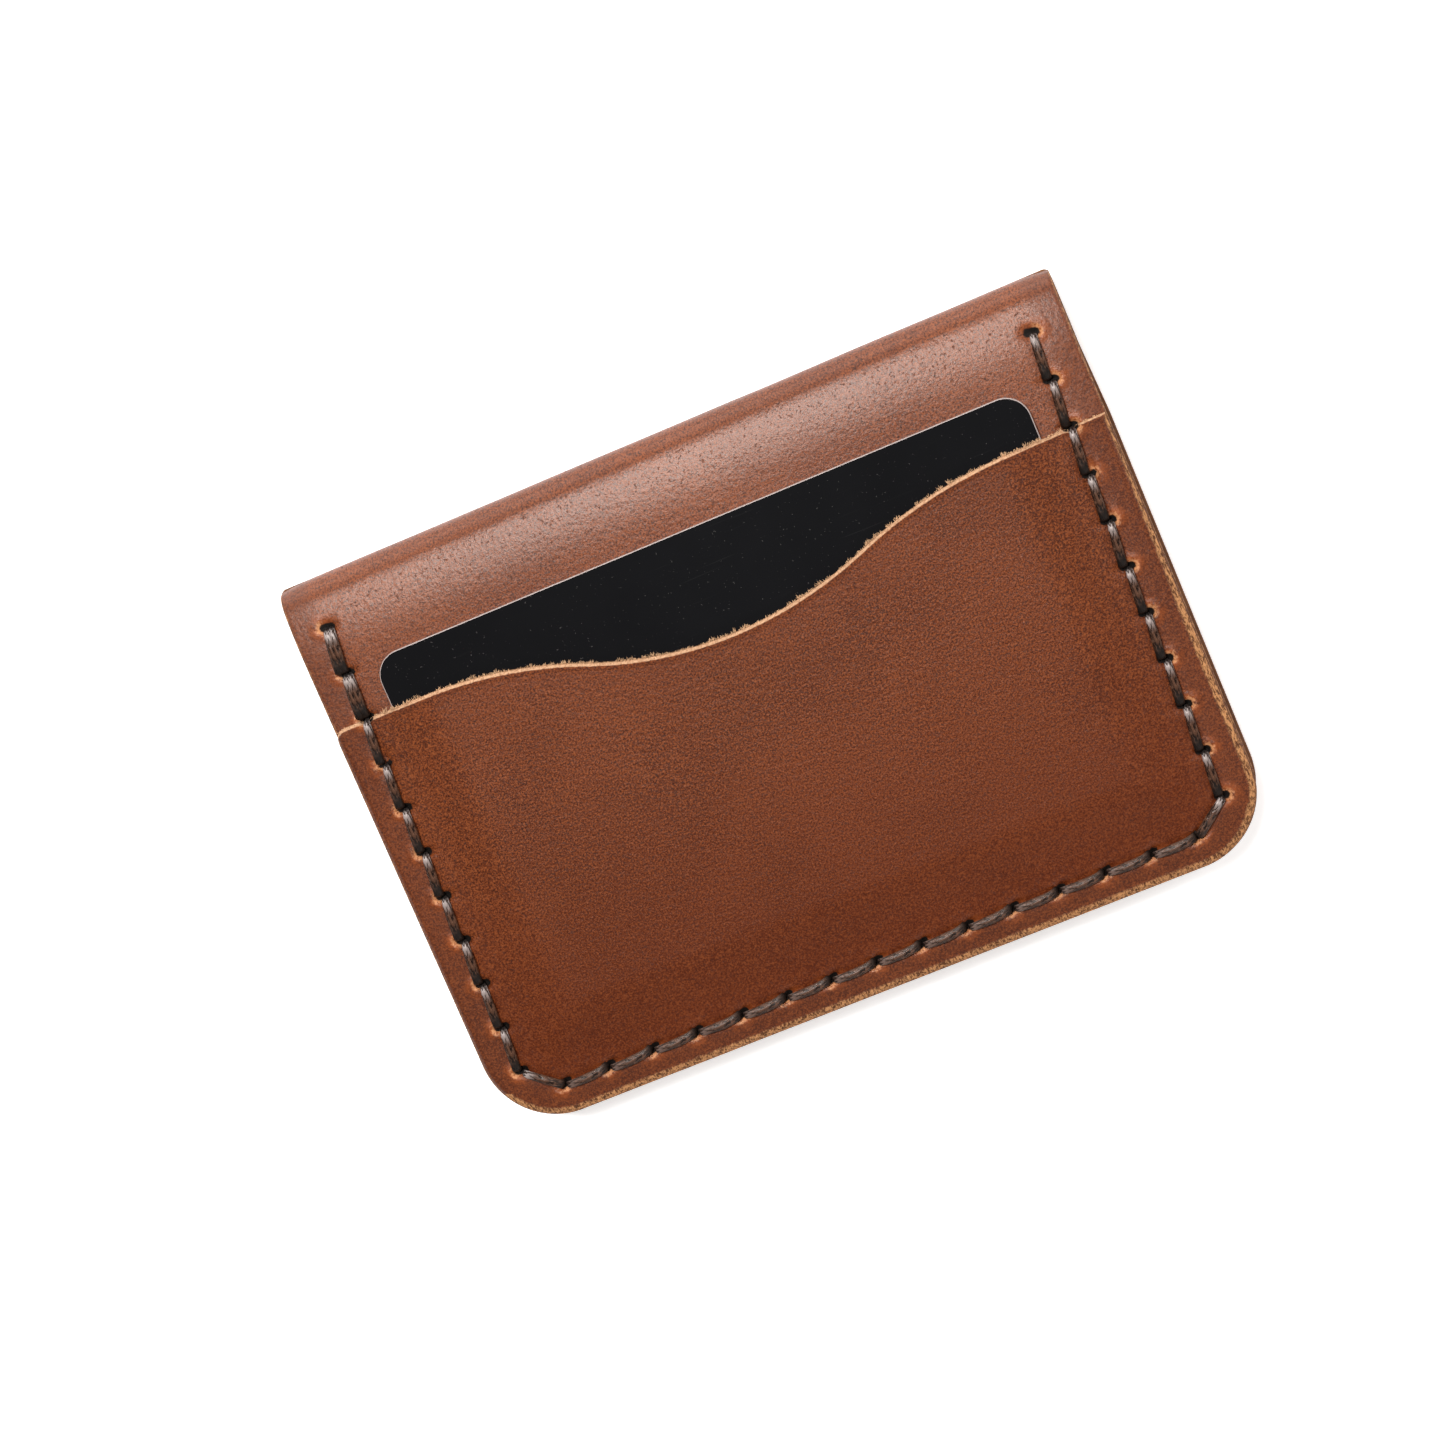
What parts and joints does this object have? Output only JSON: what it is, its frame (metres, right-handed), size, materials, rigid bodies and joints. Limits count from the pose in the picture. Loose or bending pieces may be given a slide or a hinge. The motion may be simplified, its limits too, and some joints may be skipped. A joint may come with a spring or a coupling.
{
  "type": "folding leather card holder",
  "caption": "Hand-sewn folding leather card holder with a dipped outer pocket holding a card, inner pockets and rounded lower corners.",
  "frame": {"origin": "under the middle of the closed wallet, on the face that it lies on", "axes": "+X along the fold, +Y from the open edge towards the fold, +Z out of the front cover, through the thickness"},
  "size_m": [0.102, 0.0738, 0.0099],
  "materials": {
    "shell_leather": "smooth waxed brown leather with a soft sheen and raw tan edges",
    "pocket_leather": "smooth waxed brown leather with a soft sheen and raw tan edges",
    "waxed_thread": "dark brown waxed braided thread",
    "card_plastic": "satin black with no print"
  },
  "bodies": {
    "back_cover": {"shell_back": "shell_leather", "back_inner_pocket": "pocket_leather", "back_seam_thread": "waxed_thread"},
    "spine": {"shell_fold": "shell_leather"},
    "front_cover": {"shell_front": "shell_leather", "outer_pocket": "pocket_leather", "front_inner_pocket": "pocket_leather", "front_seam_thread": "waxed_thread"},
    "loose_card": {"card": "card_plastic"}
  },
  "joints": [
    {"name": "back_fold_hinge", "type": "hinge", "parent": "back_cover", "child": "spine", "pos_m": [0, 0.03577, 0.00228], "axis": [-1, 0, 0], "range_deg": [0, 86], "deforming": ["shell_fold"]},
    {"name": "front_fold_hinge", "type": "hinge", "parent": "spine", "child": "front_cover", "pos_m": [0, 0.03577, 0.00552], "axis": [-1, 0, 0], "range_deg": [0, 86], "deforming": ["shell_fold"]},
    {"name": "card_slide", "type": "slide", "parent": "front_cover", "child": "loose_card", "axis": [0, 1, 0], "range_m": [-0.0015, 0.05]}
  ],
  "couplings": [
    {"joint": "back_fold_hinge", "follows": "front_fold_hinge", "ratio": 1}
  ]
}
